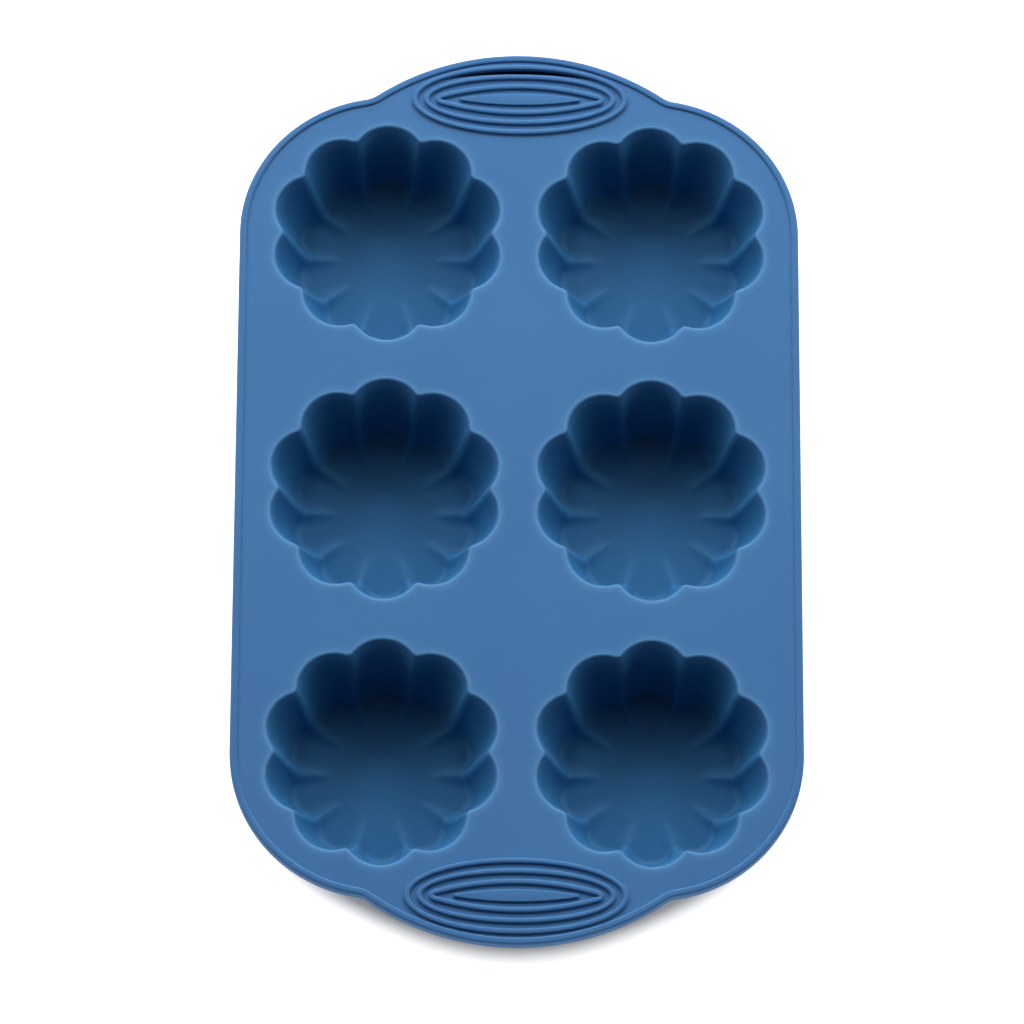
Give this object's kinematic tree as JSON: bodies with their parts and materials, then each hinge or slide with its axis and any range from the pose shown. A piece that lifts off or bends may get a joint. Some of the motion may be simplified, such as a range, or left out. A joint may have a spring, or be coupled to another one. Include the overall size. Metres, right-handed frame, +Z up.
{
  "type": "silicone flower cake mould",
  "caption": "Soft silicone baking tray: a flat deck with a beaded rim, flower-shaped cups hanging below it and an oval-ribbed grip tab at each end.",
  "frame": {"origin": "on the surface that the cups stand on, under the middle of the tray", "axes": "+Z up out of the cups, +Y along the tray from the front grip to the back grip, +X across the tray"},
  "size_m": [0.1824, 0.307, 0.0269],
  "materials": {
    "silicone": "satin moulded silicone, blue, slightly dusty"
  },
  "bodies": {
    "root": {"deck_sheet": "silicone", "rim_bead": "silicone", "flower_cup_front_left": "silicone", "flower_cup_front_right": "silicone", "flower_cup_middle_left": "silicone", "flower_cup_middle_right": "silicone", "flower_cup_back_left": "silicone", "flower_cup_back_right": "silicone", "front_grip_inner_rib": "silicone", "front_grip_middle_rib": "silicone", "front_grip_outer_rib": "silicone", "front_grip_pad": "silicone", "back_grip_inner_rib": "silicone", "back_grip_middle_rib": "silicone", "back_grip_outer_rib": "silicone", "back_grip_pad": "silicone"}
  },
  "joints": []
}
